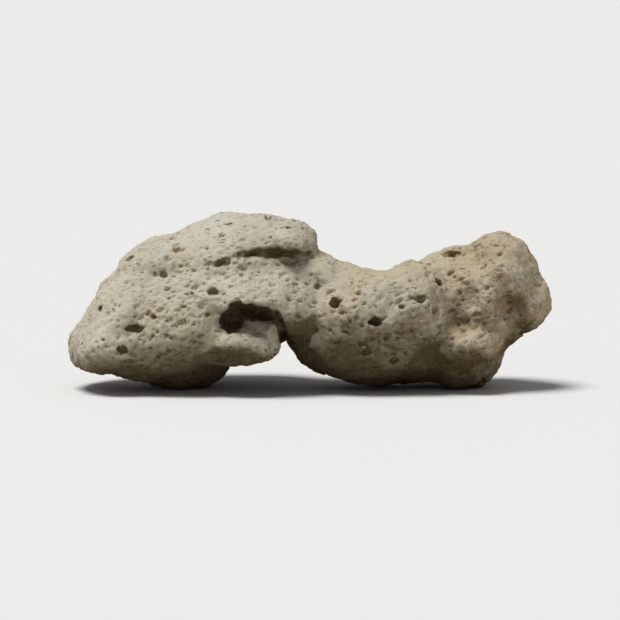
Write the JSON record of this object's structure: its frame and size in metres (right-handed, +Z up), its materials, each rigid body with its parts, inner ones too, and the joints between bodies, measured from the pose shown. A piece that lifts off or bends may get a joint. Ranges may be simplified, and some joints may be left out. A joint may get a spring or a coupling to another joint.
{
  "type": "pumice stone",
  "caption": "Water-worn pumice pebble: two rounded lobes joined by a saddle, with an overhanging crust, a large gas hollow, a scooped end and a knob, pitted all over.",
  "frame": {"origin": "middle of the bounding box, on the surface that the stone lies on", "axes": "+X along the stone's length, towards the knob; +Z up as it lies; -Y towards the face with the large gas hollow"},
  "size_m": [0.0324, 0.0142, 0.0117],
  "materials": {
    "pumice": "chalky and matt, cream-grey with tan iron stains and darker gas pits"
  },
  "bodies": {
    "root": {"pumice_stone": "pumice"}
  },
  "joints": []
}
